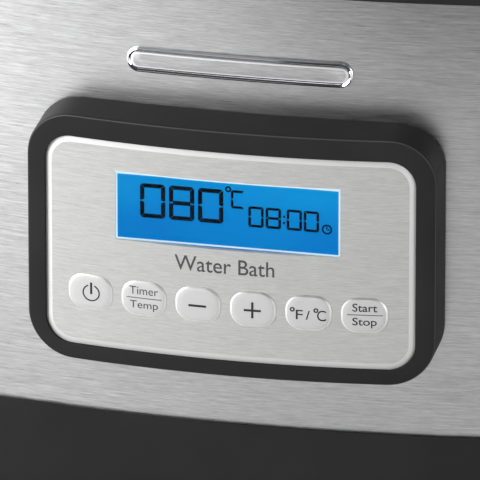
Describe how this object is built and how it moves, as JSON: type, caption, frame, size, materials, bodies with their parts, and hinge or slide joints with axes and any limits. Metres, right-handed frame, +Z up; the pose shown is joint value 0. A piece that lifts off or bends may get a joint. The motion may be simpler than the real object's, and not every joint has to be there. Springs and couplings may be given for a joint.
{
  "type": "sous vide water bath circulator",
  "caption": "Countertop sous vide water bath with a bowed brushed steel housing, black trim, lift-off glass lid, pouch rack, stirrer and a bowed control panel with a blue display and keys.",
  "frame": {"origin": "middle of the object's box, on the worktop under its feet", "axes": "+X to the right as the user faces the panel, +Y to the back, +Z up"},
  "size_m": [0.396, 0.274, 0.274],
  "materials": {
    "brushed_steel": "horizontally brushed, satin",
    "tank_steel": "satin",
    "wire_steel": "electropolished",
    "chrome": "polished",
    "aluminium": "plain",
    "screw_steel": "zinc plated",
    "black_plastic": "fine texture, matte",
    "dark_plastic": "matte",
    "silver_fascia": "horizontally brushed silver",
    "key_silver": "satin silver",
    "display_blue": "backlit blue",
    "clear_lens": "clear, satin edge",
    "lid_glass": "clear tempered",
    "black_rubber": "matte",
    "silicone": "translucent matte",
    "circuit_green": "solder mask",
    "glass_wool": "fibrous",
    "cable_grey": "flexible PVC"
  },
  "bodies": {
    "housing": {"badge": "chrome", "base_shell": "black_plastic", "control_board": "circuit_green", "foot_front_left": "black_rubber", "foot_front_right": "black_rubber", "foot_rear_left": "black_rubber", "foot_rear_right": "black_rubber", "handle_left": "black_plastic", "handle_right": "black_plastic", "handle_screw_front_left": "screw_steel", "handle_screw_front_right": "screw_steel", "handle_screw_rear_left": "screw_steel", "handle_screw_rear_right": "screw_steel", "heat_spreader": "aluminium", "heating_element": "screw_steel", "housing_shell": "brushed_steel", "impeller_guard": "tank_steel", "insulation_wrap": "glass_wool", "lcd_lens": "clear_lens", "lcd_module": "display_blue", "mains_inlet": "dark_plastic", "motor_bracket": "aluminium", "panel_back": "dark_plastic", "panel_fascia": "silver_fascia", "panel_frame": "black_plastic", "panel_gasket": "black_rubber", "panel_screw_lower_left": "screw_steel", "panel_screw_lower_right": "screw_steel", "panel_screw_upper_left": "screw_steel", "panel_screw_upper_right": "screw_steel", "power_board": "circuit_green", "ribbon_cable": "cable_grey", "safety_thermostat": "aluminium", "shaft_seal": "black_rubber", "stirrer_motor": "screw_steel", "tank": "tank_steel", "tank_gasket": "silicone", "temperature_probe": "wire_steel", "tie_rod_front_left": "screw_steel", "tie_rod_front_right": "screw_steel", "tie_rod_rear_left": "screw_steel", "tie_rod_rear_right": "screw_steel", "top_rim": "black_plastic", "transformer": "screw_steel"},
    "lid": {"lid_frame": "black_plastic", "lid_glass": "lid_glass", "lid_gasket": "silicone", "lid_handle": "black_plastic", "lid_screw_left": "screw_steel", "lid_screw_right": "screw_steel", "steam_vent": "wire_steel"},
    "rack_body": {"rack": "wire_steel"},
    "stirrer": {"impeller": "dark_plastic", "stirrer_shaft": "wire_steel"},
    "power_key_body": {"power_key": "key_silver"},
    "mode_key_body": {"mode_key": "key_silver"},
    "minus_key_body": {"minus_key": "key_silver"},
    "plus_key_body": {"plus_key": "key_silver"},
    "unit_key_body": {"unit_key": "key_silver"},
    "start_key_body": {"start_key": "key_silver"}
  },
  "joints": [
    {"name": "lid_lift", "type": "slide", "parent": "housing", "child": "lid", "axis": [0, 0, 1], "range_m": [0, 0.15]},
    {"name": "rack_lift", "type": "slide", "parent": "housing", "child": "rack_body", "axis": [0, 0, 1], "range_m": [0, 0.04]},
    {"name": "stirrer_spin", "type": "hinge", "parent": "housing", "child": "stirrer", "pos_m": [0, 0.0085, 0.0745], "axis": [0, 0, 1], "continuous": true},
    {"name": "power_key_press", "type": "slide", "parent": "housing", "child": "power_key_body", "axis": [0, 1, 0], "range_m": [0, 0.0008], "stiffness_N_per_m": 400, "springref_m": -0.001},
    {"name": "mode_key_press", "type": "slide", "parent": "housing", "child": "mode_key_body", "axis": [0, 1, 0], "range_m": [0, 0.0008], "stiffness_N_per_m": 400, "springref_m": -0.001},
    {"name": "minus_key_press", "type": "slide", "parent": "housing", "child": "minus_key_body", "axis": [0, 1, 0], "range_m": [0, 0.0008], "stiffness_N_per_m": 400, "springref_m": -0.001},
    {"name": "plus_key_press", "type": "slide", "parent": "housing", "child": "plus_key_body", "axis": [0, 1, 0], "range_m": [0, 0.0008], "stiffness_N_per_m": 400, "springref_m": -0.001},
    {"name": "unit_key_press", "type": "slide", "parent": "housing", "child": "unit_key_body", "axis": [0, 1, 0], "range_m": [0, 0.0008], "stiffness_N_per_m": 400, "springref_m": -0.001},
    {"name": "start_key_press", "type": "slide", "parent": "housing", "child": "start_key_body", "axis": [0, 1, 0], "range_m": [0, 0.0008], "stiffness_N_per_m": 400, "springref_m": -0.001}
  ]
}
